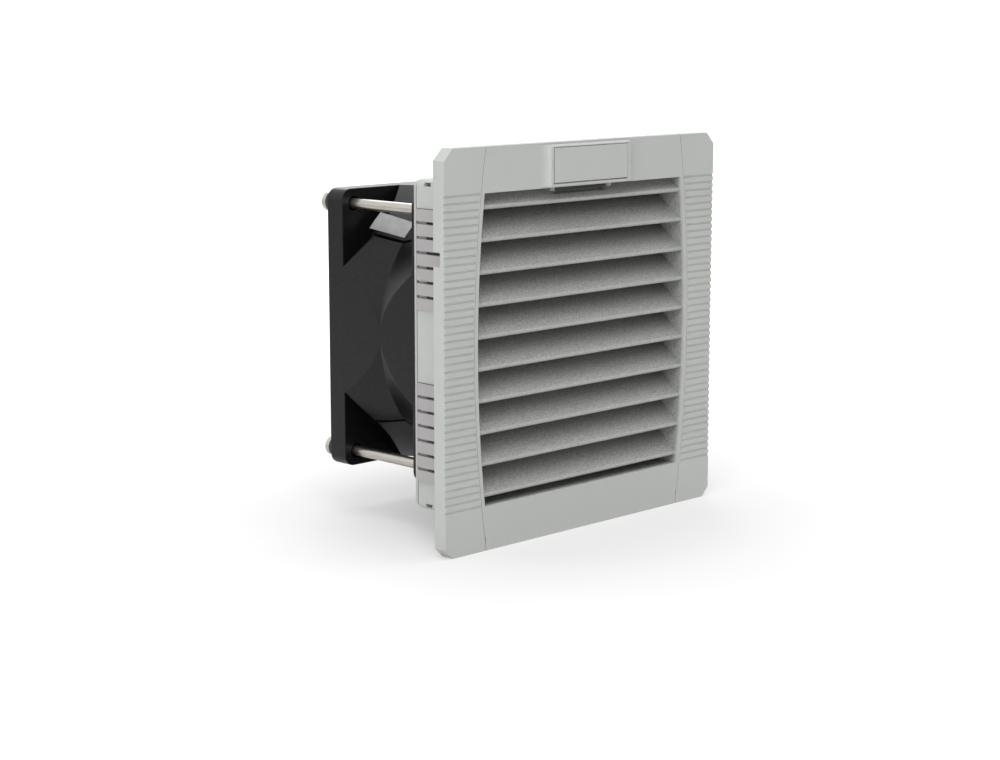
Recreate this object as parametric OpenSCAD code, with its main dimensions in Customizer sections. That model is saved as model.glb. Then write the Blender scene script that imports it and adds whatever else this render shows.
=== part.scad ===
// Enclosure filter fan: a louvred intake with a hinged cover, a filter mat and an 80 mm axial
// fan, pushed from the front into a square cut-out and held there by four sprung clamps.
// X runs to the right seen from the front, Y into the enclosure and Z up. The origin is the
// centre of the cut-out on the front surface of the panel.

/* [Panel cut-out] */
// Width and height of the square cut-out
cutout_w = 92; // [91:0.5:94]
// Gap between the sleeve and each edge of the cut-out
cutout_gap = 0.7; // [0.5:0.1:1]

/* [Front frame] */
// How far each side of the front laps over the edge of the cut-out
front_lap = 8.5; // [7.5:0.5:10.5]
// Depth of the front, from its face to the panel
front_t = 4.2; // [4:0.1:5]
// Cut across each upper corner
top_chamfer = 3.2; // [2:0.1:4]
// Cut across each lower corner
foot_chamfer = 2.7; // [1.5:0.1:4]
// Distance between the grooves of the side bands
groove_pitch = 2; // [1.6:0.1:3]
// Radius of a groove
groove_r = 0.42; // [0.3:0.02:0.6]
// Depth of a groove
groove_depth = 0.36; // [0.2:0.02:0.42]
// Plain margin between the grooves and the seam
groove_end = 0.3; // [0.2:0.05:1]
// Height of the release notch in each side edge
notch_h = 3.9; // [3:0.1:5]
// Height of the release notch above the middle
notch_z = 25.75; // [20:0.25:30]

/* [Sleeve] */
// Wall of the sleeve
sleeve_wall = 1.7; // [1.5:0.1:2]
// Radius of the sleeve's outer corners
sleeve_r = 2; // [1:0.1:3]
// Thickness of the sleeve's rear wall
rear_wall = 3; // [2.6:0.1:3.6]
// How far the bars of the guard stand in front of the rear wall
bar_set = 1.5; // [1:0.1:2]
// Distance between the bars of the guard in the rear wall
guard_pitch = 7.6; // [6:0.1:10]
// Thickness of a guard bar
guard_bar = 1.4; // [1:0.1:2]

/* [Louvre] */
// How far the opening's upper and lower edges stand inside the sleeve's walls
open_inset = 1.35; // [1.3:0.05:2.6]
// How far the opening's sides stand inside the sleeve's walls at mid-height
side_inset = 1.25; // [1.1:0.05:2.5]
// How much narrower each side of the cover is at its top edge than at mid-height
cover_bow = 4.3; // [2:0.1:6]
// Plain strip between the opening and the seam
strip_w = 1.2; // [1:0.05:1.6]
// Number of blades
blade_count = 10; // [8:1:11]
// Distance from the opening's upper edge down to the top blade's lower edge
blade_head = 4.4; // [3:0.05:6]
// Distance from the opening's lower edge up to the bottom blade's lower edge
blade_foot = 2.25; // [2:0.05:5]
// Angle at which a blade climbs inwards
blade_angle = 38; // [30:1:42]
// Thickness of a blade
blade_t = 1.3; // [0.9:0.1:1.6]
// Depth of the louvre behind the panel's front surface
louvre_depth = 5; // [4:0.1:5.2]

/* [Cover] */
// Thickness of the cover's face
cover_t = 1.6; // [1.3:0.1:1.8]
// Width of the finger tab
tab_w = 32; // [26:1:36]
// How far the tab stands proud of the face
tab_proud = 1.7; // [1:0.1:2.5]
// Width of each hollow flank of the tab
tab_flank = 3; // [2:0.1:4]
// Margin of the tab beside the inset plate
plate_side = 1.1; // [1:0.1:5]
// Margin of the tab above and below the inset plate
plate_edge = 1.25; // [1.1:0.05:3]
// Thickness of the inset plate
plate_t = 0.8; // [0.6:0.1:1]
// Radius of the cover's pivots
pivot_r = 0.9; // [0.7:0.05:1]
// Height of the pivots above the lower edge of the front
pivot_z = 1.6; // [1.5:0.1:2]
// Width of the latch tongue
latch_w = 20; // [14:1:24]

/* [Clamps] */
// Leaves of each clamp
leaf_count = 7; // [5:1:7]
// Slot between two leaves
leaf_slot = 0.8; // [0.5:0.1:1.2]
// Distance from the middle of the sleeve's side to each clamp
clamp_from = 9.7; // [8:0.1:12]
// Distance from each clamp to the nearer corner of the sleeve
clamp_to = 7.6; // [6.5:0.1:9]
// How far a clamp stands proud of the sleeve at its rear end
clamp_proud = 0.7; // [0.4:0.1:1]

/* [Filter and gasket] */
// Thickness of the filter mat
mat_t = 5.8; // [4:0.1:6]
// Width of the gasket
gasket_w = 3; // [2:0.1:3.2]
// Thickness of the gasket
gasket_t = 1.3; // [0.8:0.1:1.3]

/* [Fan] */
// How far the fan's sides stand inside the sleeve's outer sides
fan_inset = 5.3; // [5:0.1:6]
// Depth of the fan
fan_d = 41.5; // [40:0.5:44]
// Distance from the waist of the fan's body to its rear face
waist_back = 21.8; // [20:0.1:23]
// Thickness of each fan flange
fan_flange = 6.3; // [5:0.1:7]
// Radius of the fan's corners
fan_r = 3.2; // [2:0.1:6]
// Distance from the screw holes to the fan's sides
hole_edge = 4.25; // [3.8:0.05:4.5]
// Radius of the screw holes in the flanges
fan_hole_r = 2.15; // [2:0.05:2.3]
// Narrowest rim between the air duct and the fan's sides
duct_rim = 2.5; // [2:0.1:3]
// Wall of the fan's body at its waist
duct_wall = 2.5; // [2.1:0.1:3.1]
// How much further out the body stands at the flanges than at its waist
cone_rise = 4; // [2:0.1:5]
// Number of impeller blades
vane_count = 7; // [5:1:9]
// Radius of the impeller's hub
hub_r = 20.5; // [19.5:0.1:22]

/* [Fasteners] */
// Radius of the screws
screw_r = 1.5; // [1.25:0.05:1.6]
// Radius of the screw heads
head_r = 2.75; // [2.5:0.05:3.2]
// Height of the screw heads
head_h = 2.4; // [1.2:0.1:2.6]
// Thickness of the black collars under the heads
collar_t = 2.5; // [1:0.1:3]
// Width of a nut across its flats
nut_af = 5.5; // [5:0.1:5.6]
// Thickness of a nut
nut_t = 2.4; // [1.8:0.1:2.4]

/* [Hidden] */
$fn = 96;
// Overrun of every cut past the face it leaves
over = 0.5;

// Colours
abs_grey = [0.80, 0.82, 0.80];
clamp_grey = [0.74, 0.73, 0.73];
fan_black = [0.07, 0.07, 0.075];
steel = [0.72, 0.71, 0.69];

// Gaps: between fixed pieces, at a running fit, at the cover's seam and round what moves
fit_gap = 0.1;
run_gap = 0.05;
seam_gap = 0.15;
rest_gap = 0.3;

// Front and sleeve
front_half = cutout_w / 2 + front_lap;
front_w = 2 * front_half;
face_y = -front_t;
cover_back = face_y + cover_t;
wall_y = cover_back + fit_gap;
sleeve_half = cutout_w / 2 - cutout_gap;
inner_half = sleeve_half - sleeve_wall;

// Louvred opening and the distance between its blades
open_h = 2 * (inner_half - open_inset);
open_w = 2 * (inner_half - side_inset);
blade_top = open_h / 2 - blade_head;
blade_pitch = (open_h - blade_head - blade_foot) / (blade_count - 1);

// The seam bows outwards along one large arc on each side
seam_half = open_w / 2 + strip_w;
bow_r = (front_half * front_half + cover_bow * cover_bow) / (2 * cover_bow);
function seam_at(z) = seam_half - bow_r + sqrt(bow_r * bow_r - z * z);
seam_end = seam_at(front_half);

// Side bands, release notches and the slots near the sleeve's corners
groove_count = 2 * floor(open_h / 2 / groove_pitch) + 1;
notch_depth = front_t - cover_t - fit_gap;
notch_reach = 2.6;
side_slot_l = 7;
side_slot_h = 1;
side_slot_back = 2.9;
side_slot_in = 1.4;
side_slot_deep = 5;
side_rib = 0.9;
side_rib_back = 2.5;
side_rib_in = 0.5;

// Gasket groove, round the cut-out
gasket_margin = 0.9;
gasket_in = cutout_w / 2 + gasket_margin;
gasket_out = gasket_in + gasket_w;

// Louvre box behind the cover's face
box_half = inner_half - rest_gap;
box_wall = 0.8;
nose_inset = 0.8;
nose_y = face_y + nose_inset;
nose_r = blade_t / 2;

// Cover pivots near the lower edge, the bay they turn in and the straight ends of the seam there
pivot_inset = 2;
pivot_y = face_y + pivot_inset;
pivot_len = 2.6;
pivot_boss = pivot_z - fit_gap / 2;
pivot_in = seam_end - seam_gap;
bay_room = 2.6;
bay_h = pivot_z + bay_room;
bay_half = seam_at(front_half - bay_h) + seam_gap;
hinge_half = seam_at(front_half - pivot_z);
hinge_turn = 2.2;
hinge_h = pivot_z + hinge_turn;

// Finger tab and inset plate, centred on the top band
band_h = front_half - open_h / 2;
band_z = front_half - band_h / 2;
tab_drop = 0.6;
tab_rise = 0.4;
tab_h = band_h - tab_drop - tab_rise;
shadow_line = 0.2;
tab_half = tab_w / 2;
plate_w = tab_w - 2 * plate_side;
plate_h = band_h - 2 * plate_edge;
tab_y = face_y - tab_proud;
flank_steps = 8;

// Latch tongue over the top blade, its lip in a finger slot
latch_t = 0.9;
latch_set = 0.25;
latch_z = open_h / 2 + latch_set;
latch_pivot_y = -0.6;
latch_front = latch_pivot_y - latch_t;
latch_rear = louvre_depth + rest_gap;
latch_lip = 1.4;
latch_nose = 0.15;
latch_nose_l = 1.2;
latch_drop = 1.2;
latch_pin_r = 0.5;
latch_pin_len = 0.8;
latch_pin_z = latch_z - rest_gap;
lug_w = 2.2;
lug_l = 2.4;
lug_h = 2;
finger_side = 0.5;
finger_h = 1.8;
finger_l = 3.4;
finger_y = latch_front + rest_gap;
keeper_h = 0.25;
keeper_l = 0.8;
keeper_y = latch_rear - latch_nose_l - rest_gap - keeper_l;

// Filter mat, between the louvre and the support bars, then the sleeve's rear wall
mat_side = 1.6;
mat_front = louvre_depth + 2 * rest_gap;
mat_half = inner_half - mat_side;
bar_front = mat_front + mat_t + rest_gap;
bar_t = bar_set + fit_gap;
bar_post_share = 0.5;
rear_y = bar_front + bar_set;
sleeve_len = rear_y + rear_wall;

// Clamps in the side walls: leaves that spring from a spine, which turns on two short pins
leaf_t = 1.6;
root_t = 2.2;
spine = 3;
spine_groove = 1.4;
clamp_room = sleeve_half - clamp_from - clamp_to;
clamp_z = clamp_from + clamp_room / 2;
leaf_pitch = clamp_room / leaf_count;
clamp_half = (clamp_room - leaf_slot) / 2;
clamp_rear = sleeve_len - fit_gap;
clamp_front = 0.9;
clamp_x = sleeve_half + clamp_proud;
clamp_crest = 0.5;
clamp_ramp = 2.4;
hinge_in = 0.9;
hinge_back = 1.4;
hinge_x = sleeve_half - hinge_in;
hinge_y = clamp_rear - hinge_back;
clamp_pin_r = 0.55;
clamp_pin_len = 1;

// Fan plate and fan
plate_gap = 0.7;
fan_plate_t = 0.8;
fan_plate_inset = 0.4;
fan_plate_half = sleeve_half - fan_plate_inset;
plate_y = sleeve_len + plate_gap;
fan_y = plate_y + fan_plate_t;
fan_rear = fan_y + fan_d;
waist_y = fan_rear - waist_back;
fan_half = sleeve_half - fan_inset;
fan_w = 2 * fan_half;
screw_half = fan_half - hole_edge;
duct_r = fan_half - duct_rim;
duct_clear = 0.5;
mouth_r = duct_r + duct_clear;
waist_r = duct_r + duct_wall;
cone_r = waist_r + cone_rise;
// Flare of the duct at both ends
flare = 1;
flare_len = 3;
// Room for the screws, cut into the double cone, and the parting groove along its sides
relief_r = 18.4;
relief_tip = 8.3;
relief_len = 6.1;
parting_angle = 39.5;
parting_w = 1;
parting_deep = 1.1;

// Bare sticker on the upper left of the rear cone
label_t = 0.12;
label_start = 0.4;
label_end = 3;
label_len = fan_rear - fan_flange - waist_y - label_start - label_end;
label_from = 41.5;
label_turn = 8;

// Motor: its base, spokes and bearing tube belong to the fan's frame
base_inset = 0.5;
base_edge = 0.6;
base_t = 2.4;
base_r = hub_r - base_inset;
base_y = fan_rear - base_edge - base_t;
shaft_r = 1.5;
bearing_r = 4;
bearing_w = 4;
tube_wall = 1.2;
tube_r = bearing_r + tube_wall;
shoulder = 0.8;
hub_set = 5;
hub_top = 1.8;
hub_edge = 2;
hub_y = fan_y + hub_set;
boss_r = 3.6;
boss_len = 3.8;
boss_y = hub_y + hub_top + boss_len;
tube_y = boss_y + rest_gap;
hub_gap = 1.2;
hub_rear = base_y - hub_gap;
hub_wall = 1.3;
shell_r = hub_r - hub_wall;
shell_wall = 1.2;
shell_short = 1;
shell_y = hub_y + hub_top;
air_gap = 0.4;
spoke_w = 3.4;
spoke_count = 4;

// Stator: poles and shoes as shares of the core, coils round the poles
core_r = shell_r - shell_wall - air_gap;
core_t = 12;
core_set = 5.5;
core_y = tube_y + core_set;
pole_share = 0.42;
yoke_share = 0.52;
shoe_share = 0.84;
pole_w = core_r * pole_share;
yoke_r = core_r * yoke_share;
shoe_r = core_r * shoe_share;
shoe_gap = 2.4;
coil_t = 3.2;
coil_side = 2.4;
coil_gap = 0.5;
coil_half = pole_w / 2 + coil_side;
coil_in = yoke_r + coil_gap;
coil_out = sqrt(shoe_r * shoe_r - coil_half * coil_half) - coil_gap;

// Bearings, spring, shaft and clip
race_share = 0.5;
race_deep = 0.4;
bearing_front_y = tube_y;
bearing_rear_y = base_y - base_t - bearing_w;
spring_t = 0.6;
spring_w = 1.1;
spring_y = bearing_front_y + bearing_w;
shaft_skin = 0.8;
shaft_y = hub_y + shaft_skin;
clip_t = 0.5;
clip_w = 1.3;
clip_open = 1.6;
clip_groove = 0.3;
clip_y = bearing_rear_y + bearing_w + rest_gap;
shaft_end = clip_y + 2 * clip_t;

// Impeller vanes: angles in degrees round the axis, chord and thickness as shares
vane_inset = 1.6;
vane_front = hub_y + vane_inset;
vane_rear = hub_rear - hub_edge;
vane_mid = (vane_front + vane_rear) / 2;
tip_gap = 0.7;
vane_r = duct_r - tip_gap;
vane_root = hub_r - hub_wall + rest_gap;
vane_t = 1.2;
vane_turn = 42;
vane_camber = 6;
vane_turn_shares = [1, 0.9, 0.82, 0.75, 0.70, 0.66];
vane_chord_share = 0.8;
vane_edge_share = 0.08;
vane_points = 6;

// Flat terminals in a block on the right-hand spoke, reached through two notches in the rim
pin_l = 6.5;
pin_t = 0.5;
pin_w = 2.8;
pin_z = 4.3;
block_l = 7;
block_t = 3;
block_w = 12.6;
block_inset = 4.5;
block_end = duct_r - block_inset;
block_y = base_y + base_t - block_t;
pin_y = block_y + block_t / 2;
rim_side = 0.8;
notch_w = pin_w + 2 * rim_side;
rim_deep = 4.2;

// Screws and nuts
nut_y = rear_y;
nut_clear = 0.12;
nut_boss_r = 5;
screw_lead = 0.4;
head_edge = 0.5;
head_y = fan_rear + collar_t;
screw_tip = bar_front;
head_turn = 20;
collar_r = 3.1;
recess_w = 0.8;
recess_share = 0.72;

// Outline drawn in X and Z, from depth y0 over a length
module along_y(y0, len) {
    translate([0, y0 + len, 0]) rotate([90, 0, 0]) linear_extrude(len) children();
}

// Profile drawn in Y and Z, from x0 over a length
module along_x(x0, len) {
    translate([x0, 0, 0]) rotate([90, 0, 90]) linear_extrude(len) children();
}

// Round bar along X, centred
module rod_x(r, len) {
    rotate([0, 90, 0]) cylinder(r = r, h = len, center = true, $fn = 32);
}

// Profile of radius against Y, turned about the fan's axis
module turned() {
    rotate([-90, 0, 0]) rotate_extrude() children();
}

// The same thing at both sides, in a mirror
module both_sides() {
    children();
    mirror([1, 0, 0]) children();
}

// The same thing at each of the fan's four screws
module each_corner() {
    for (sx = [-1, 1], sz = [-1, 1]) translate([sx * screw_half, 0, sz * screw_half]) children();
}

module each_hole() {
    for (sx = [-1, 1], sz = [-1, 1]) translate([sx * screw_half, sz * screw_half]) children();
}

// Square with rounded corners, with true arcs
module soft_square(half, r) {
    square([2 * half, 2 * (half - r)], center = true);
    square([2 * (half - r), 2 * half], center = true);
    for (sx = [-1, 1], sz = [-1, 1]) translate([sx * (half - r), sz * (half - r)]) circle(r);
}

module ring_square(outer, inner) {
    difference() {
        square(2 * outer, center = true);
        square(2 * inner, center = true);
    }
}

// Outline between the two large arcs
module bowed(half, tall) {
    intersection() {
        square([2 * half + over, tall], center = true);
        translate([bow_r - half, 0]) circle(bow_r, $fn = 360);
        translate([half - bow_r, 0]) circle(bow_r, $fn = 360);
    }
}

// Outline of the front, with its corners cut
module front_outline() {
    difference() {
        square(front_w, center = true);
        for (s = [-1, 1]) {
            translate([s * front_half, front_half]) rotate(45) square(top_chamfer * sqrt(2), center = true);
            translate([s * front_half, -front_half]) rotate(45) square(foot_chamfer * sqrt(2), center = true);
        }
    }
}

// Grooves of one side band, from just short of the seam out through the edge
module groove_cuts() difference() {
    reach = front_half + over;
    for (i = [0 : groove_count - 1]) {
        z = (i - (groove_count - 1) / 2) * groove_pitch;
        translate([(seam_end + reach) / 2, face_y + groove_depth - groove_r, z])
            rod_x(groove_r, reach - seam_end);
    }
    along_y(face_y - 2 * groove_r, 2 * groove_r + front_t)
        bowed(seam_half + seam_gap + groove_end, front_w + over);
}

// Straight bars that carry the filter mat and keep fingers off the impeller
module guard() {
    bars = floor(inner_half / guard_pitch);
    long = 2 * inner_half + over;
    for (i = [-bars : bars]) translate([0, i * guard_pitch]) square([long, guard_bar], center = true);
    for (s = [-1, 0, 1]) translate([s * inner_half * bar_post_share, 0])
        square([guard_bar, long], center = true);
}

// Window for one clamp and the bores for its pins
module clamp_pocket(z) {
    wide = clamp_half + seam_gap;
    translate([inner_half - rest_gap, clamp_front - rest_gap, z - wide])
        cube([sleeve_wall + rest_gap + over, rear_y - clamp_front + rest_gap, 2 * wide]);
    translate([clamp_x - root_t - rest_gap, clamp_rear - spine - rest_gap, z - wide])
        cube([root_t + rest_gap + over, spine + 2 * over, 2 * wide]);
    translate([hinge_x, hinge_y, z])
        cylinder(r = clamp_pin_r + run_gap, h = 2 * (wide + clamp_pin_len), center = true, $fn = 32);
}

// Slot near the rear corner of the sleeve, upper or lower, with a rib set back in it
module side_slot(side) {
    rear = sleeve_len - side_slot_back;
    translate([sleeve_half, rear, side * (sleeve_half - side_slot_in) - side_slot_h / 2]) difference() {
        translate([-side_slot_deep, -side_slot_l, 0]) cube([side_slot_deep + over, side_slot_l, side_slot_h]);
        translate([-side_slot_deep - over, -side_rib_back - side_rib / 2, -over])
            cube([side_slot_deep + over - side_rib_in, side_rib, side_slot_h + 2 * over]);
    }
}

// What one side of the housing loses: grooves, clamp windows, pivot bore, slots and notch
module side_cuts() {
    groove_cuts();
    clamp_pocket(clamp_z);
    clamp_pocket(-clamp_z);
    translate([pivot_in + (pivot_len + rest_gap) / 2, pivot_y, pivot_z - front_half])
        rod_x(pivot_r + run_gap, pivot_len + rest_gap);
    side_slot(1);
    side_slot(-1);
    translate([front_half - notch_reach / 2, (over - notch_depth) / 2, notch_z])
        cube([notch_reach + over, notch_depth + over, notch_h], center = true);
}

// Room for the cover's lower edge and its pivots
module hinge_bay() {
    low = -front_half - over;
    translate([-bay_half, wall_y - over, low]) cube([2 * bay_half, -wall_y + 2 * over, bay_h + over]);
    translate([-hinge_half - fit_gap, face_y - over, low])
        cube([2 * (hinge_half + fit_gap), front_t + over, pivot_z + over]);
}

module base_housing() color(abs_grey) difference() {
    union() {
        along_y(face_y, front_t) difference() {
            front_outline();
            bowed(seam_half + seam_gap, front_w + over);
        }
        along_y(wall_y, -wall_y) difference() {
            front_outline();
            square(2 * inner_half, center = true);
        }
        along_y(-over, sleeve_len + over) difference() {
            soft_square(sleeve_half, sleeve_r);
            square(2 * inner_half, center = true);
        }
        along_y(rear_y, rear_wall) difference() {
            square(2 * inner_half + over, center = true);
            circle(mouth_r);
        }
        along_y(bar_front, bar_t) intersection() {
            guard();
            square(2 * inner_half + over, center = true);
        }
        along_y(bar_front + bar_t - over, sleeve_len - bar_front - bar_t + over) intersection() {
            guard();
            circle(mouth_r + over);
        }
        each_corner() along_y(bar_front, plate_y - bar_front) circle(nut_boss_r);
        translate([-latch_w / 2, keeper_y, inner_half - keeper_h]) cube([latch_w, keeper_l, keeper_h + over]);
    }
    both_sides() side_cuts();
    along_y(-gasket_t, gasket_t + over) ring_square(gasket_out + fit_gap, gasket_in - fit_gap);
    hinge_bay();
    each_corner() {
        along_y(bar_front - over, plate_y) circle(screw_r + nut_clear, $fn = 48);
        along_y(bar_front - over, nut_y + nut_t - bar_front + over)
            circle((nut_af / 2 + nut_clear) / cos(30), $fn = 6);
    }
}

module panel_gasket() color([0.12, 0.12, 0.12]) {
    along_y(-gasket_t, gasket_t) ring_square(gasket_out, gasket_in);
}

module filter_mat() color([0.93, 0.93, 0.90]) {
    along_y(mat_front, mat_t) square(2 * mat_half, center = true);
}

// Profile of one blade in Y and Z: a thin plate with a round nose, climbing inwards
module blade_profile() {
    circle(nose_r, $fn = 32);
    rotate(blade_angle) translate([0, -nose_r]) square([(louvre_depth - nose_y) / cos(blade_angle), blade_t]);
}

module blades() intersection() {
    along_x(-seam_half, 2 * seam_half) for (i = [0 : blade_count - 1])
        translate([nose_y + nose_r, blade_top + nose_r - i * blade_pitch]) blade_profile();
    along_y(face_y, louvre_depth - face_y) intersection() {
        bowed(open_w / 2 + box_wall / 2, open_h + box_wall);
        square([2 * box_half - box_wall, open_h + box_wall], center = true);
    }
}

// Plan of the tab: flat front and two hollow flanks
module tab_plan() {
    flank = [for (i = [0 : flank_steps]) let (a = 90 * i / flank_steps)
        [tab_half + tab_flank * (1 - cos(a)), tab_proud * (1 - sin(a))]];
    polygon(concat([for (q = flank) [q[0], -q[1]]],
        [[tab_half + tab_flank, over], [-tab_half - tab_flank, over]],
        [for (i = [flank_steps : -1 : 0]) [-flank[i][0], -flank[i][1]]]));
}

module tab() translate([0, face_y, open_h / 2 + tab_rise]) difference() {
    linear_extrude(tab_h) tab_plan();
    translate([0, -tab_proud, tab_h]) rotate([45, 0, 0])
        cube([2 * (tab_half + tab_flank), tab_drop, tab_drop], center = true);
}

// Face of the cover, straight beside its pivots so that it clears the frame as it turns
module cover_face() along_y(face_y, cover_t) difference() {
    intersection() {
        bowed(seam_half, front_w);
        front_outline();
    }
    bowed(open_w / 2, open_h);
    for (s = [0, 1]) mirror([s, 0]) translate([hinge_half, -front_half - over])
        square([front_half - hinge_half, hinge_h + over]);
}

// What the latch needs: its slot, the finger slot before it and the bore of its pins
module latch_room() {
    translate([-latch_w / 2 - rest_gap, latch_front - over, latch_z - latch_drop])
        cube([latch_w + 2 * rest_gap, latch_rear - latch_front + 2 * over, latch_drop + latch_t]);
    translate([0, finger_y, open_h / 2 - finger_h / 2])
        cube([latch_w + 2 * finger_side, finger_l, finger_h + over], center = true);
    translate([0, latch_pivot_y, latch_pin_z])
        rod_x(latch_pin_r + run_gap, latch_w + 2 * (rest_gap + latch_pin_len));
}

module louvre_cover() color(abs_grey) difference() {
    tall = open_h + 2 * box_wall;
    union() {
        cover_face();
        along_y(cover_back - over, louvre_depth - cover_back + over) difference() {
            intersection() {
                bowed(seam_half, tall);
                square([2 * box_half, tall], center = true);
            }
            bowed(min(open_w / 2, box_half - box_wall / 2), open_h);
        }
        blades();
        tab();
        both_sides() {
            translate([latch_w / 2 + rest_gap + lug_w / 2, latch_pivot_y, open_h / 2 + box_wall - lug_h / 2])
                cube([lug_w, lug_l, lug_h], center = true);
            translate([pivot_in - pivot_len, pivot_y, pivot_z - front_half]) rod_x(pivot_boss, 2 * pivot_len);
            translate([pivot_in + (pivot_len - over) / 2, pivot_y, pivot_z - front_half])
                rod_x(pivot_r, pivot_len + over);
        }
    }
    translate([-shadow_line / 2, tab_y, band_z - shadow_line / 2])
        cube([plate_w + shadow_line, 2 * plate_t, plate_h + shadow_line], center = true);
    latch_room();
}

module inset_plate() color(abs_grey) {
    translate([0, tab_y + plate_t / 2, band_z])
        cube([plate_w - 2 * seam_gap, plate_t, plate_h - 2 * seam_gap], center = true);
}

module latch_tongue() color([0.30, 0.31, 0.31]) {
    crest = latch_t / 2 + latch_nose;
    along_x(-latch_w / 2, latch_w) translate([0, latch_z]) {
        translate([latch_front, -latch_t / 2]) square([latch_rear - latch_front, latch_t]);
        translate([latch_front, -latch_lip]) square([latch_t, latch_lip]);
        polygon([[latch_rear - latch_nose_l, 0], [latch_rear, 0], [latch_rear - latch_nose_l / 2, crest],
            [latch_rear - latch_nose_l, crest]]);
    }
    translate([0, latch_pivot_y, latch_pin_z]) rod_x(latch_pin_r, latch_w + 2 * latch_pin_len);
}

// Plan of a clamp on the right-hand side: a wedge that grips the panel, then a long leaf
module clamp_plan() {
    back = clamp_rear - spine;
    polygon([[clamp_x - leaf_t, clamp_front], [clamp_x - clamp_crest, clamp_front],
        [clamp_x + clamp_crest, clamp_front + clamp_ramp], [clamp_x, clamp_rear - clamp_crest],
        [clamp_x - clamp_crest, clamp_rear], [clamp_x - root_t, clamp_rear],
        [clamp_x - root_t, back + root_t - leaf_t], [clamp_x - leaf_t, back]]);
}

module clamp(z) color(clamp_grey) translate([0, 0, z]) {
    difference() {
        translate([0, 0, -clamp_half]) linear_extrude(2 * clamp_half) clamp_plan();
        for (i = [1 : leaf_count - 1]) translate([0, 0, (i - leaf_count / 2) * leaf_pitch - leaf_slot / 2]) {
            translate([clamp_x - root_t - over, clamp_front - over, 0])
                cube([root_t + clamp_crest + 2 * over, clamp_rear - spine - clamp_front + over, leaf_slot]);
            translate([clamp_x - spine_groove, clamp_front, 0]) cube([leaf_t, clamp_rear, leaf_slot]);
        }
    }
    for (s = [-1, 1]) translate([hinge_x, hinge_y, s * (clamp_half + (clamp_pin_len - over) / 2)])
        cylinder(r = clamp_pin_r, h = clamp_pin_len + over, center = true, $fn = 32);
}

module clamp_upper_left() mirror([1, 0, 0]) clamp(clamp_z);
module clamp_lower_left() mirror([1, 0, 0]) clamp(-clamp_z);
module clamp_upper_right() clamp(clamp_z);
module clamp_lower_right() clamp(-clamp_z);

module fan_plate() color([0.86, 0.87, 0.86]) along_y(plate_y, fan_plate_t) difference() {
    soft_square(fan_plate_half, sleeve_r);
    circle(mouth_r);
    each_hole() circle(screw_r + nut_clear, $fn = 48);
}

// Double cone from flange to waist, with room for the screws and a parting groove
module fan_body() {
    difference() {
        turned() polygon([[duct_r + over, fan_y], [cone_r, fan_y + fan_flange], [waist_r, waist_y],
            [cone_r, fan_rear - fan_flange], [duct_r + over, fan_rear]]);
        each_corner() {
            translate([0, fan_rear - fan_flange, 0]) rotate([90, 0, 0])
                cylinder(r1 = relief_r, r2 = relief_tip, h = relief_len);
            translate([0, fan_y + fan_flange, 0]) rotate([-90, 0, 0])
                cylinder(r1 = relief_r, r2 = relief_tip, h = relief_len);
        }
        for (a = [parting_angle, -parting_angle, 180 - parting_angle, 180 + parting_angle])
            rotate([0, a, 0])
                translate([waist_r - parting_deep - over, fan_y + fan_flange - over, -parting_w / 2])
                    cube([cone_r, fan_d - 2 * (fan_flange - over), parting_w]);
    }
    turned() polygon([[duct_r, fan_y], [waist_r - parting_deep, fan_y], [waist_r - parting_deep, fan_rear],
        [duct_r, fan_rear]]);
}

// Spokes, motor base and bearing tube, with a shoulder between the two bearings
module motor_mount() {
    seat = spring_y + spring_t + run_gap;
    bore = bearing_r - shoulder;
    for (i = [0 : spoke_count - 1]) rotate([0, i * 360 / spoke_count, 0])
        translate([base_r - over, base_y, -spoke_w / 2])
            cube([duct_r + flare - base_r + over, base_t, spoke_w]);
    turned() polygon([[bearing_r, base_y], [base_r, base_y], [base_r, base_y + base_t - base_edge],
        [base_r - base_edge, base_y + base_t], [bearing_r, base_y + base_t]]);
    turned() polygon([[bearing_r, tube_y], [tube_r, tube_y], [tube_r, base_y + over],
        [bearing_r, base_y + over], [bearing_r, bearing_rear_y], [bore, bearing_rear_y], [bore, seat],
        [bearing_r, seat]]);
}

// Cut that opens the duct's end: side is -1 at the front and 1 at the rear
module duct_flare(y, side) {
    inner = y - side * flare_len;
    outer = y + side * over;
    turned() polygon([[duct_r - over, inner], [duct_r, inner], [duct_r + flare, y], [duct_r + flare, outer],
        [duct_r - over, outer]]);
}

module fan_frame() color(fan_black) {
    difference() {
        union() {
            intersection() {
                fan_body();
                along_y(fan_y, fan_d) square(fan_w, center = true);
            }
            for (y = [fan_y, fan_rear - fan_flange]) along_y(y, fan_flange) difference() {
                soft_square(fan_w / 2, fan_r);
                circle(duct_r + over);
            }
        }
        duct_flare(fan_y, -1);
        duct_flare(fan_rear, 1);
        each_corner() along_y(fan_y - over, fan_d + 2 * over) circle(fan_hole_r, $fn = 48);
        for (s = [-1, 1]) translate([block_end, fan_rear - rim_deep, s * pin_z - notch_w / 2])
            cube([fan_w, 2 * rim_deep, notch_w]);
    }
    motor_mount();
    translate([block_end - block_l, block_y, -block_w / 2]) cube([block_l, block_t, block_w]);
}

function cone_at(y) = waist_r + (cone_r - waist_r) * (y - waist_y) / (fan_rear - fan_flange - waist_y);

module fan_label() color([0.92, 0.92, 0.90]) {
    y0 = waist_y + label_start;
    y1 = y0 + label_len;
    rotate([-90, 0, 0]) rotate([0, 0, 180 + label_from]) rotate_extrude(angle = label_turn)
        polygon([[cone_at(y0), y0], [cone_at(y0) + label_t, y0], [cone_at(y1) + label_t, y1],
            [cone_at(y1), y1]]);
}

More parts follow.
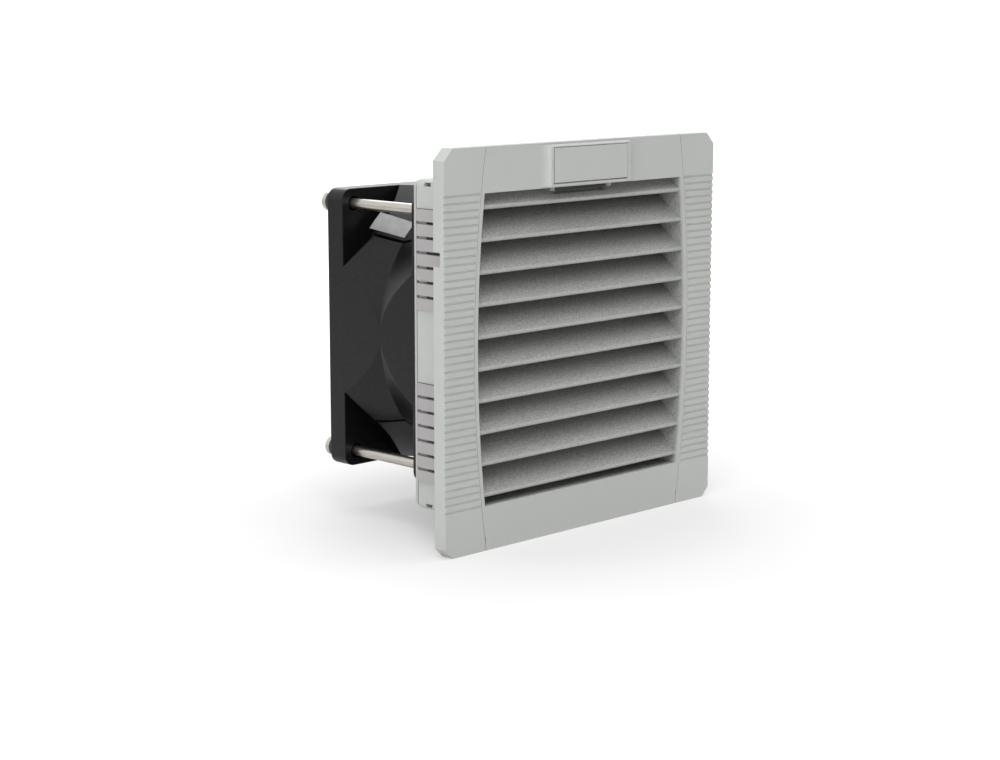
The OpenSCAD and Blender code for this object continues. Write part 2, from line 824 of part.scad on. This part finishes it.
// Laminated core: round yoke, crossed poles and a ring of shoes with gaps between them
module stator_core() color([0.45, 0.46, 0.48]) along_y(core_y, core_t) difference() {
    intersection() {
        circle(core_r);
        union() {
            circle(yoke_r);
            for (a = [0, 90]) rotate(a) square([2 * core_r, pole_w], center = true);
            difference() {
                circle(core_r);
                circle(shoe_r);
                for (a = [45, 135]) rotate(a) square([3 * core_r, shoe_gap], center = true);
            }
        }
    }
    circle(tube_r + run_gap);
}

module stator_coils() color([0.66, 0.36, 0.16]) {
    room = pole_w + 2 * run_gap;
    for (a = [0 : 90 : 270]) rotate([0, a, 0]) translate([coil_in, core_y - coil_t, 0]) difference() {
        translate([0, 0, -coil_half]) cube([coil_out - coil_in, core_t + 2 * coil_t, 2 * coil_half]);
        translate([-over, coil_t - run_gap, -room / 2]) cube([core_r, core_t + 2 * run_gap, room]);
    }
}

module bearing(y) color(steel) turned() difference() {
    translate([shaft_r + run_gap, y]) square([bearing_r - shaft_r - run_gap, bearing_w]);
    for (end = [y, y + bearing_w]) translate([(bearing_r + shaft_r) / 2, end])
        square([(bearing_r - shaft_r) * race_share, race_deep], center = true);
}

module bearing_front() bearing(bearing_front_y);
module bearing_rear() bearing(bearing_rear_y);

module preload_spring() color(steel) {
    turned() translate([bearing_r - run_gap - spring_w, spring_y]) square([spring_w, spring_t]);
}

module terminal_pins() color([0.80, 0.78, 0.72]) {
    for (s = [-1, 1]) translate([block_end, pin_y - pin_t / 2, s * pin_z - pin_w / 2])
        cube([pin_l, pin_t, pin_w]);
}

// One vane: cambered sections at rising radius, each wrapped on its own cylinder
function vane_point(r, a, y, off) = let (b = a + off / r * 180 / PI) [r * cos(b), y, r * sin(b)];
function vane_side(r, turn, chord, side) = [for (j = [0 : vane_points]) let (u = j / vane_points)
    vane_point(r, turn * (u - 1 / 2) + vane_camber * sin(180 * u), vane_mid + chord * (u - 1 / 2),
        side * vane_t / 2 * sin(180 * (vane_edge_share + (1 - 2 * vane_edge_share) * u)))];
function vane_section(k, rings) =
    let (out = k / (rings - 1), r = vane_root + (vane_r - vane_root) * out,
        turn = vane_turn * vane_turn_shares[k],
        chord = (vane_rear - vane_front) * (vane_chord_share + (1 - vane_chord_share) * sin(180 * out)),
        back = vane_side(r, turn, chord, -1))
    concat(vane_side(r, turn, chord, 1), [for (j = [vane_points : -1 : 0]) back[j]]);

module vane() {
    rings = len(vane_turn_shares);
    per = 2 * (vane_points + 1);
    last = (rings - 1) * per;
    points = [for (k = [0 : rings - 1]) each vane_section(k, rings)];
    walls = [for (k = [0 : rings - 2], j = [0 : per - 1]) let (a = k * per + j, b = k * per + (j + 1) % per)
        each [[a, b, a + per], [b, b + per, a + per]]];
    ends = [for (j = [0 : vane_points - 1]) let (a = j, b = j + 1, c = per - 2 - j, d = per - 1 - j)
        each [[a, d, c], [a, c, b], [last + a, last + c, last + d], [last + a, last + b, last + c]]];
    polyhedron(points, concat(walls, ends));
}

module impeller() color(fan_black) {
    difference() {
        turned() polygon([[0, hub_y], [hub_r - hub_edge, hub_y], [hub_r, hub_y + hub_edge],
            [hub_r, hub_rear], [shell_r + fit_gap, hub_rear], [shell_r + fit_gap, shell_y], [boss_r, shell_y],
            [boss_r, boss_y], [0, boss_y]]);
        turned() translate([0, shaft_y]) square([shaft_r, fan_d]);
    }
    for (i = [0 : vane_count - 1]) rotate([0, i * 360 / vane_count, 0]) vane();
}

module rotor_shell() color([0.55, 0.56, 0.58]) turned() difference() {
    hole_r = boss_r + fit_gap;
    translate([hole_r, shell_y]) square([shell_r - hole_r, hub_rear - shell_y - shell_short]);
    translate([hole_r - over, shell_y + shell_wall]) square([shell_r - shell_wall - hole_r + over, fan_d]);
}

module rotor_shaft() color(steel) turned() difference() {
    translate([0, shaft_y]) square([shaft_r, shaft_end - shaft_y]);
    translate([shaft_r - clip_groove, clip_y - run_gap]) square([over, clip_t + 2 * run_gap]);
}

module shaft_clip() color([0.30, 0.30, 0.32]) difference() {
    turned() translate([shaft_r - clip_groove + run_gap, clip_y]) square([clip_w, clip_t]);
    translate([0, clip_y + clip_t / 2, shaft_r + clip_w / 2])
        cube([clip_open, 2 * clip_t, clip_w + 2 * over], center = true);
}

module fan_screws() color(steel) each_corner() difference() {
    top = head_y + head_h;
    turned() polygon([[0, screw_tip], [screw_r - screw_lead, screw_tip], [screw_r, screw_tip + screw_lead],
        [screw_r, head_y],
        [head_r, head_y], [head_r, top - head_edge], [head_r - head_edge, top], [0, top]]);
    for (a = [0, 90]) rotate([0, a + head_turn, 0]) translate([0, top, 0])
        cube([2 * head_r * recess_share, head_h, recess_w], center = true);
}

module screw_collars() color(fan_black) each_corner() {
    turned() translate([screw_r + run_gap, fan_rear]) square([collar_r - screw_r - run_gap, collar_t]);
}

module captive_nuts() color(steel) each_corner() along_y(nut_y, nut_t) difference() {
    circle(nut_af / 2 / cos(30), $fn = 6);
    circle(screw_r + run_gap, $fn = 48);
}

base_housing();
panel_gasket();
filter_mat();
louvre_cover();
inset_plate();
latch_tongue();
clamp_upper_left();
clamp_lower_left();
clamp_upper_right();
clamp_lower_right();
fan_plate();
fan_frame();
fan_label();
stator_core();
stator_coils();
bearing_front();
bearing_rear();
preload_spring();
terminal_pins();
impeller();
rotor_shell();
rotor_shaft();
shaft_clip();
fan_screws();
screw_collars();
captive_nuts();
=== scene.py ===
import math

import bmesh
import bpy
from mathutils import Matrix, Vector, noise


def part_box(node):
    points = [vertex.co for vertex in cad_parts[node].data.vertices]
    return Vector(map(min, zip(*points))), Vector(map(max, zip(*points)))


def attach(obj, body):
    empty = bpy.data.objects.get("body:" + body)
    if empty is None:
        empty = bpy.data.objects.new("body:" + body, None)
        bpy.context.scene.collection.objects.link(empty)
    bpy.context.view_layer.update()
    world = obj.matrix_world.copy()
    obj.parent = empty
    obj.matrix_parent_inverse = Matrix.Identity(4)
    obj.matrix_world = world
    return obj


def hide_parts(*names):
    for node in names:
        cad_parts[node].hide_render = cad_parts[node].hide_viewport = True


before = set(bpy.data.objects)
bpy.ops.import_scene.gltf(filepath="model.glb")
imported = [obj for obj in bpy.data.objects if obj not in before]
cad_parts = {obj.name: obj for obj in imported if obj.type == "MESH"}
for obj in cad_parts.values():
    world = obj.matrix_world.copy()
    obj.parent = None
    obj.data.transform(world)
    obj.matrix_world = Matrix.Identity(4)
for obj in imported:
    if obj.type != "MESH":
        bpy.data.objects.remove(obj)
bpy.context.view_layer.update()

# The enclosure filter fan in its looks: moulded grey ABS in front, a black coated casting behind.
# Sizes are in metres, in the frame of the solids: X to the right, Y into the enclosure, Z up.

MM = 0.001
WHITE = "#ffffff"
MAT_LOW, MAT_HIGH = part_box("filter_mat")
FLOOR_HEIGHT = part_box("base_housing")[0].z

# Depths in the louvre between which a painted shade begins, and between which it grows much darker
PAINTED_SHADE_NEAR = (-3.8 * MM, -3.0 * MM)
PAINTED_SHADE_DEEP = (1.5 * MM, MAT_LOW.y)
# How far the louvre's inside reaches to each side of the middle: outside it the cover is not
# painted darker
LOUVRE_HALF = 42.6 * MM
# A side wall that faces away from the middle, further out than this, is an outer one
OUTER_WALL = 30 * MM

# The wave node repeats after this many of its units along one axis, and in the sum of all three
WAVE_ALONG = math.pi / 10
WAVE_ACROSS = math.pi / 5
SHEET_MM = 0.5
WIRE_MM = 0.4


# Nodes and colours

def colour(hex_code):
    """An sRGB hex value as linear red, green, blue and alpha."""
    parts = [int(hex_code[i:i + 2], 16) / 255 for i in (1, 3, 5)]
    linear = [c / 12.92 if c <= 0.04045 else ((c + 0.055) / 1.055) ** 2.4 for c in parts]
    return (*linear, 1.0)


def add(tree, kind, inputs=(), **settings):
    """Adds a node; an input is linked where it is given another node's output, or else set."""
    made = tree.nodes.new(kind)
    for name, value in settings.items():
        setattr(made, name, value)
    for key, value in dict(inputs).items():
        if isinstance(value, bpy.types.NodeSocket):
            tree.links.new(value, made.inputs[key])
        else:
            made.inputs[key].default_value = value
    return made


def calc(tree, operation, *terms):
    """The result of a mathematical operation on outputs or numbers."""
    return add(tree, "ShaderNodeMath", dict(enumerate(terms)), operation=operation).outputs[0]


def spread(tree, value, low, high, to_low=0.0, to_high=1.0):
    """A value carried from between two levels to between two others, and held there."""
    return add(tree, "ShaderNodeMapRange", {
        "Value": value, "From Min": low, "From Max": high, "To Min": to_low, "To Max": to_high,
    }).outputs["Result"]


def blend(tree, factor, first, second):
    """Two colours, mixed by a factor."""
    return add(tree, "ShaderNodeMix", {0: factor, 6: first, 7: second}, data_type="RGBA").outputs[2]


def blend_colours(tree, pattern, first, second, low=0.35, high=0.65):
    """Two hex colours, mixed by a pattern between two of its levels."""
    return blend(tree, spread(tree, pattern, low, high), colour(first), colour(second))


def grains(tree, point, size_mm, detail=2.0, **inputs):
    """Noise with grains of a real size."""
    return add(tree, "ShaderNodeTexNoise", {
        "Vector": point, "Scale": 1 / (size_mm * MM), "Detail": detail, **inputs,
    }).outputs["Fac"]


def stretched(tree, point, scale):
    """The point with each axis scaled: a pattern grows long where the scale is small."""
    return add(tree, "ShaderNodeMapping", {"Vector": point, "Scale": scale}).outputs["Vector"]


def waves(tree, point, scale, direction, distortion=0.0):
    return add(tree, "ShaderNodeTexWave", {
        "Vector": point, "Scale": scale, "Distortion": distortion,
    }, bands_direction=direction).outputs["Fac"]


def bare_tree(owner):
    """The emptied node tree of a material or of the world."""
    owner.use_nodes = True
    owner.node_tree.nodes.clear()
    return owner.node_tree


def finish(name, roughness, metallic=0.0, ior=1.5, coat=0.0):
    """A new material: its tree, its principled shader and a point in the piece's own metres."""
    material = bpy.data.materials.new(name)
    tree = bare_tree(material)
    shader = add(tree, "ShaderNodeBsdfPrincipled", {
        "Roughness": roughness, "Metallic": metallic, "IOR": ior, "Coat Weight": coat,
    })
    add(tree, "ShaderNodeOutputMaterial", {"Surface": shader.outputs["BSDF"]})
    point = add(tree, "ShaderNodeTexCoord").outputs["Object"]
    return material, tree, shader, point


def relief(tree, shader, height, depth_mm, edge_mm=0.25):
    """Bump of a real depth over edges that are rounded to a real radius."""
    edge = add(tree, "ShaderNodeBevel", {"Radius": edge_mm * MM}, samples=6)
    bump = add(tree, "ShaderNodeBump", {
        "Height": height, "Distance": depth_mm * MM, "Normal": edge.outputs["Normal"],
    })
    tree.links.new(bump.outputs["Normal"], shader.inputs["Normal"])


def tint(tree, shader, paint):
    """Gives the shader its colour."""
    tree.links.new(paint, shader.inputs["Base Color"])


# Materials

def moulded_abs(name, light, dark, roughness=0.55):
    """ABS, injection moulded in a spark-eroded tool: an even, dull skin with a fine grain."""
    material, tree, shader, point = finish(name, roughness, ior=1.53)
    # The tool's grain is about 0.1 mm; it is drawn three times as coarse so that it shows.
    skin = grains(tree, point, size_mm=0.3)
    flow = grains(tree, point, size_mm=25, detail=1.0)
    both = calc(tree, "ADD", skin, flow)
    tint(tree, shader, blend_colours(tree, both, dark, light, low=0.7, high=1.3))
    relief(tree, shader, skin, depth_mm=0.02, edge_mm=0.12)
    return material


def louvre_inside(tree, point):
    """1 inside the louvre's box and 0 on its outer walls, plate and tab; and the depth in it."""
    place = add(tree, "ShaderNodeSeparateXYZ", {"Vector": point}).outputs
    across = calc(tree, "ABSOLUTE", place["X"])
    up = calc(tree, "ABSOLUTE", place["Z"])
    near = calc(tree, "LESS_THAN", calc(tree, "MAXIMUM", across, up), LOUVRE_HALF)
    facing = add(tree, "ShaderNodeTexCoord").outputs["Normal"]
    side = add(tree, "ShaderNodeSeparateXYZ", {"Vector": facing}).outputs["X"]
    outward = calc(tree, "MULTIPLY", place["X"], side)
    inner = calc(tree, "LESS_THAN", outward, OUTER_WALL)
    return calc(tree, "MULTIPLY", near, inner), place["Y"]


def louvre_abs(light, dark, near_shade, deep_shade):
    """The same ABS where air is drawn through, with painted shade inside: grainy, a little darker
    behind the noses and much darker in the depth.
    """
    material, tree, shader, point = finish("abs_louvre", roughness=0.6, ior=1.53)
    skin = grains(tree, point, size_mm=0.35)
    speckle = grains(tree, point, size_mm=0.5, detail=4.0)
    inside, depth = louvre_inside(tree, point)
    paint = blend_colours(tree, skin, dark, light)
    # Painted shade: each pair darkens the louvre's inside with depth, a little behind the noses and
    # much more deep in.
    for (start, end), (shaded, lit) in ((PAINTED_SHADE_NEAR, near_shade), (PAINTED_SHADE_DEEP, deep_shade)):
        shade_paint = blend_colours(tree, speckle, shaded, lit, low=0.4, high=0.6)
        share = calc(tree, "MULTIPLY", spread(tree, depth, start, end), inside)
        paint = blend(tree, share, paint, shade_paint)
    tint(tree, shader, paint)
    relief(tree, shader, skin, depth_mm=0.03, edge_mm=0.12)
    return material


def cast_coating():
    """Die-cast aluminium under a black electro-coat: half-gloss, with a slight orange peel."""
    material, tree, shader, point = finish("coated_casting", roughness=0.3)
    # Less than the usual 0.5: the photograph's black has only a faint sheen.
    shader.inputs["Specular IOR Level"].default_value = 0.3
    peel = grains(tree, point, size_mm=1.2)
    tint(tree, shader, blend_colours(tree, peel, "#0e0e0f", "#161617"))
    relief(tree, shader, peel, depth_mm=0.012, edge_mm=0.4)
    return material


def glass_filled(name, roughness=0.5):
    """Black glass-filled plastic, moulded: short fibres leave a faint grey streak in the skin."""
    material, tree, shader, point = finish(name, roughness, ior=1.55)
    fibre = grains(tree, stretched(tree, point, (1, 0.2, 1)), size_mm=0.5)
    tint(tree, shader, blend_colours(tree, fibre, "#151516", "#222223"))
    relief(tree, shader, fibre, depth_mm=0.015)
    return material


def plated_steel(name, light, dark, roughness, stretch=(1, 0.05, 1)):
    """Turned or drawn metal, bright or plated: fine lines along one way of the piece."""
    material, tree, shader, point = finish(name, roughness, metallic=1.0)
    lines = grains(tree, stretched(tree, point, stretch), size_mm=0.4)
    tint(tree, shader, blend_colours(tree, lines, dark, light))
    relief(tree, shader, lines, depth_mm=0.004, edge_mm=0.15)
    return material


def closed_foam():
    """EPDM foam, closed cells cut open at the skin: dull black with small round pits."""
    material, tree, shader, point = finish("epdm_foam", roughness=0.85)
    cells = add(tree, "ShaderNodeTexVoronoi", {
        "Vector": point, "Scale": 1 / (0.6 * MM),
    }).outputs["Distance"]
    tint(tree, shader, blend_colours(tree, cells, "#101010", "#262626", low=0.1, high=0.6))
    relief(tree, shader, cells, depth_mm=0.1)
    return material


def fleece():
    """Bonded polyester fleece: off-white fibres that lie every way, with soft shade between."""
    material, tree, shader, point = finish("polyester_fleece", roughness=0.95)
    # Fibres of 0.05 mm are drawn some ten times as thick so that they show.
    fibre = grains(tree, point, size_mm=0.9, detail=6.0, Roughness=0.65, Distortion=2.5)
    tint(tree, shader, blend_colours(tree, fibre, "#bdbdb6", "#f1f1ec", low=0.38, high=0.62))
    shader.inputs["Sheen Weight"].default_value = 0.3
    relief(tree, shader, fibre, depth_mm=0.2)
    return material


def label_film():
    """Satin polyester film, bare: a faint grey waviness from the adhesive under it."""
    material, tree, shader, point = finish("label_film", roughness=0.35, ior=1.6)
    wave = grains(tree, point, size_mm=3)
    tint(tree, shader, blend_colours(tree, wave, "#8e8f8f", "#9b9c9c"))
    relief(tree, shader, wave, depth_mm=0.03, edge_mm=0.05)
    return material


def laminated_steel():
    """Electrical steel, stamped and stacked: a line at each half-millimetre sheet."""
    material, tree, shader, point = finish("stacked_sheets", roughness=0.45, metallic=0.9)
    sheets = waves(tree, point, WAVE_ALONG / (SHEET_MM * MM), "Y")
    tint(tree, shader, blend_colours(tree, sheets, "#5b5d61", "#8a8d92"))
    relief(tree, shader, sheets, depth_mm=0.05)
    return material


def wound_copper():
    """Enamelled copper wire, wound side by side: a round ridge at each turn."""
    material, tree, shader, point = finish("enamelled_copper", roughness=0.3, metallic=0.8,
                                           coat=0.4)
    turns = waves(tree, point, WAVE_ACROSS / (WIRE_MM * MM), "DIAGONAL", distortion=0.4)
    tint(tree, shader, blend_colours(tree, turns, "#6b3416", "#b8713a"))
    relief(tree, shader, turns, depth_mm=0.1)
    return material


# Mouldings: grey ABS in front, dark ABS for the latch, springy POM for the clamps, and black PBT
# for the impeller
ABS_GREY = moulded_abs("abs_light_grey", "#c8cbc7", "#c2c5c1")
LATCH_ABS = moulded_abs("abs_dark_grey", "#1c1d1d", "#161717", roughness=0.5)
CLAMP_POM = moulded_abs("pom_warm_grey", "#b7b4b4", "#b1aeae", roughness=0.45)
PLATE_ABS = moulded_abs("abs_pale_grey", "#c2c4c1", "#babcb9")
COATED = cast_coating()
PBT = glass_filled("glass_filled_pbt")
NYLON = glass_filled("black_nylon", roughness=0.42)
# Metals: the long screws are nickel-plated, the rotor shell and the nuts zinc-plated, the shaft
# and the bearings ground bright, the spring and the clip blued, and the terminals tinned brass
NICKEL = plated_steel("nickel_plated_steel", "#cdc9c1", "#bcb7ae", roughness=0.28)
ZINC = plated_steel("zinc_plated_steel", "#b9bcc0", "#94979c", roughness=0.35)
GROUND = plated_steel("ground_steel", "#c3c4c5", "#a6a7a8", roughness=0.2)
BLUED = plated_steel("blued_spring_steel", "#4a4b50", "#2f3034", roughness=0.35)
TINNED = plated_steel("tinned_brass", "#cfccc2", "#aeaa9d", roughness=0.3, stretch=(0.05, 1, 1))

FINISHES = {
    "base_housing": ABS_GREY,
    # The louvre cover's two darker colour pairs are painted shade for its inside.
    "louvre_cover": louvre_abs("#c8cbc7", "#c2c5c1", near_shade=("#929391", "#b0b1af"),
                               deep_shade=("#444544", "#585957")),
    "inset_plate": ABS_GREY,
    "panel_gasket": closed_foam(),
    "latch_tongue": LATCH_ABS,
    "clamp_upper_left": CLAMP_POM,
    "clamp_lower_left": CLAMP_POM,
    "clamp_upper_right": CLAMP_POM,
    "clamp_lower_right": CLAMP_POM,
    "fan_plate": PLATE_ABS,
    "fan_frame": COATED,
    "fan_label": label_film(),
    "stator_core": laminated_steel(),
    "stator_coils": wound_copper(),
    "bearing_front": GROUND,
    "bearing_rear": GROUND,
    "preload_spring": BLUED,
    "terminal_pins": TINNED,
    "impeller": PBT,
    "rotor_shell": ZINC,
    "rotor_shaft": GROUND,
    "shaft_clip": BLUED,
    "fan_screws": NICKEL,
    "screw_collars": NYLON,
    "captive_nuts": ZINC,
}
for node, material in FINISHES.items():
    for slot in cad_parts[node].material_slots:
        slot.material = material


# The filter mat: a cut slab of fleece, slack at its edges and felted on both faces

MAT_CELL = 1.2 * MM
MAT_SOFT = 0.9 * MM
MAT_WAVE = 0.35 * MM
MAT_FELT = 4 * MM


def mat_surface(u, v, side):
    """A point of a face of the mat, at u and v from 0 to 1; side is -1 in front and 1 behind."""
    low, high = MAT_LOW, MAT_HIGH
    x = low.x + (high.x - low.x) * u
    z = low.z + (high.z - low.z) * v
    rim = min(x - low.x, high.x - x, z - low.z, high.z - z)
    drawn_in = MAT_SOFT * math.exp(-rim / MAT_SOFT)
    felt = MAT_WAVE * (0.5 + 0.5 * noise.noise(Vector((x, z, side)) / MAT_FELT))
    face = high.y if side > 0 else low.y
    return Vector((x, face - side * (drawn_in + felt), z))


def filter_mat():
    """The mat as one closed mesh: two faces in a grid of cells and a rim between them."""
    steps = round((MAT_HIGH.x - MAT_LOW.x) / MAT_CELL)
    mesh = bmesh.new()
    faces = {}
    for side in (-1, 1):
        grid = [[mesh.verts.new(mat_surface(i / steps, j / steps, side)) for j in range(steps + 1)]
                for i in range(steps + 1)]
        for i in range(steps):
            for j in range(steps):
                ring = [grid[i][j], grid[i + 1][j], grid[i + 1][j + 1], grid[i][j + 1]]
                mesh.faces.new(ring if side < 0 else ring[::-1])
        faces[side] = grid
    border = ([(i, 0) for i in range(steps)] + [(steps, j) for j in range(steps)]
              + [(i, steps) for i in range(steps, 0, -1)] + [(0, j) for j in range(steps, 0, -1)])
    for (i, j), (k, l) in zip(border, border[1:] + border[:1]):
        mesh.faces.new([faces[-1][i][j], faces[1][i][j], faces[1][k][l], faces[-1][k][l]])
    bmesh.ops.recalc_face_normals(mesh, faces=mesh.faces[:])
    data = bpy.data.meshes.new("fleece_mat")
    mesh.to_mesh(data)
    mesh.free()
    for face in data.polygons:
        face.use_smooth = True
    data.materials.append(fleece())
    piece = bpy.data.objects.new("fleece_mat", data)
    bpy.context.collection.objects.link(piece)
    return piece


mat = filter_mat()
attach(mat, "housing")
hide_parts("filter_mat")


# Floor, light and camera

FLOOR_SIZE = 12.0
# The floor's colour for the light that it gives back, and as the camera sees it
FLOOR_PALE = "#f0f0f0"
FLOOR_SEEN = "#c3c3c3"
# The glow that only the camera sees: its strength and its distance from the middle, near and far.
# It is weaker near the middle, a painted shade on the floor round the piece.
GLOW_WITH_PAINTED_SHADE = (0.38, 1.0)
PAINTED_SHADE_REACH = (0.04, 0.36)

SKY_LEVEL = 0.18
# Each lamp's place, width and power in watts
LAMPS = {
    "top_softbox": ((0, 0, 1.6), 1.4, 14.5),
    "corner_softbox": ((-0.8, -0.8, 1.2), 1.0, 8),
    "left_softbox": ((-1.5, -0.4, 0.45), 1.0, 7.5),
    "right_softbox": ((1.1, -0.5, 1.2), 1.0, 3),
    "back_softbox": ((1.1, 1.2, 0.9), 1.2, 6),
}

# The photograph's camera, solved from its edges; the angles are in degrees
CAMERA_PLACE = (-0.425341, -0.395553, 0.089225)
CAMERA_PITCH = 9.988
CAMERA_TURN = 44.992
CAMERA_LENS = 75.248
CAMERA_SENSOR = 36


def pale_floor():
    """A plain pale floor that keeps the shadow; to the camera it is darker near the middle, a
    painted shade that fades to white further out.
    """
    bpy.ops.mesh.primitive_plane_add(size=FLOOR_SIZE, location=(0, 0, FLOOR_HEIGHT))
    floor = bpy.context.object
    floor.name = "floor"
    material = bpy.data.materials.new("pale_floor")
    tree = bare_tree(material)
    seen = add(tree, "ShaderNodeLightPath").outputs["Is Camera Ray"]
    point = add(tree, "ShaderNodeTexCoord").outputs["Object"]
    away = add(tree, "ShaderNodeVectorMath", {0: point}, operation="LENGTH").outputs["Value"]
    # Painted shade: the glow is weaker near the middle, so the floor round the piece reads darker.
    glow_with_painted_shade = spread(tree, away, *PAINTED_SHADE_REACH, *GLOW_WITH_PAINTED_SHADE)
    pale = blend(tree, seen, colour(FLOOR_PALE), colour(FLOOR_SEEN))
    matt = add(tree, "ShaderNodeBsdfDiffuse", {"Color": pale})
    glow = add(tree, "ShaderNodeEmission", {
        "Color": colour(WHITE), "Strength": calc(tree, "MULTIPLY", seen, glow_with_painted_shade),
    })
    both = add(tree, "ShaderNodeAddShader", {0: matt.outputs["BSDF"], 1: glow.outputs["Emission"]})
    add(tree, "ShaderNodeOutputMaterial", {"Surface": both.outputs["Shader"]})
    floor.data.materials.append(material)


def surroundings():
    """Even light from all sides; the camera, gloss and glass see plain white."""
    world = bpy.data.worlds.new("studio")
    bpy.context.scene.world = world
    tree = bare_tree(world)
    path = add(tree, "ShaderNodeLightPath").outputs
    seen = calc(tree, "MAXIMUM", path["Is Camera Ray"], path["Is Glossy Ray"])
    seen = calc(tree, "MAXIMUM", seen, path["Is Transmission Ray"])
    strength = spread(tree, seen, 0.0, 1.0, SKY_LEVEL, 1.0)
    sky = add(tree, "ShaderNodeBackground", {"Color": colour(WHITE), "Strength": strength})
    add(tree, "ShaderNodeOutputWorld", {"Surface": sky.outputs["Background"]})


def soft_light(name, place, size, power):
    """A square lamp that faces the origin, the middle of the panel cut-out."""
    data = bpy.data.lights.new(name, "AREA")
    data.size = size
    data.energy = power
    lamp = bpy.data.objects.new(name, data)
    lamp.location = place
    lamp.rotation_euler = (-Vector(place)).to_track_quat("-Z", "Y").to_euler()
    bpy.context.collection.objects.link(lamp)


def photograph_camera():
    data = bpy.data.cameras.new("camera")
    data.sensor_width = CAMERA_SENSOR
    data.lens = CAMERA_LENS
    camera = bpy.data.objects.new("camera", data)
    camera.location = CAMERA_PLACE
    camera.rotation_euler = (math.radians(90 - CAMERA_PITCH), 0, math.radians(-CAMERA_TURN))
    bpy.context.collection.objects.link(camera)
    bpy.context.scene.camera = camera


pale_floor()
surroundings()
for name, (place, size, power) in LAMPS.items():
    soft_light(name, place, size, power)
photograph_camera()
bpy.context.scene.view_settings.view_transform = "Standard"
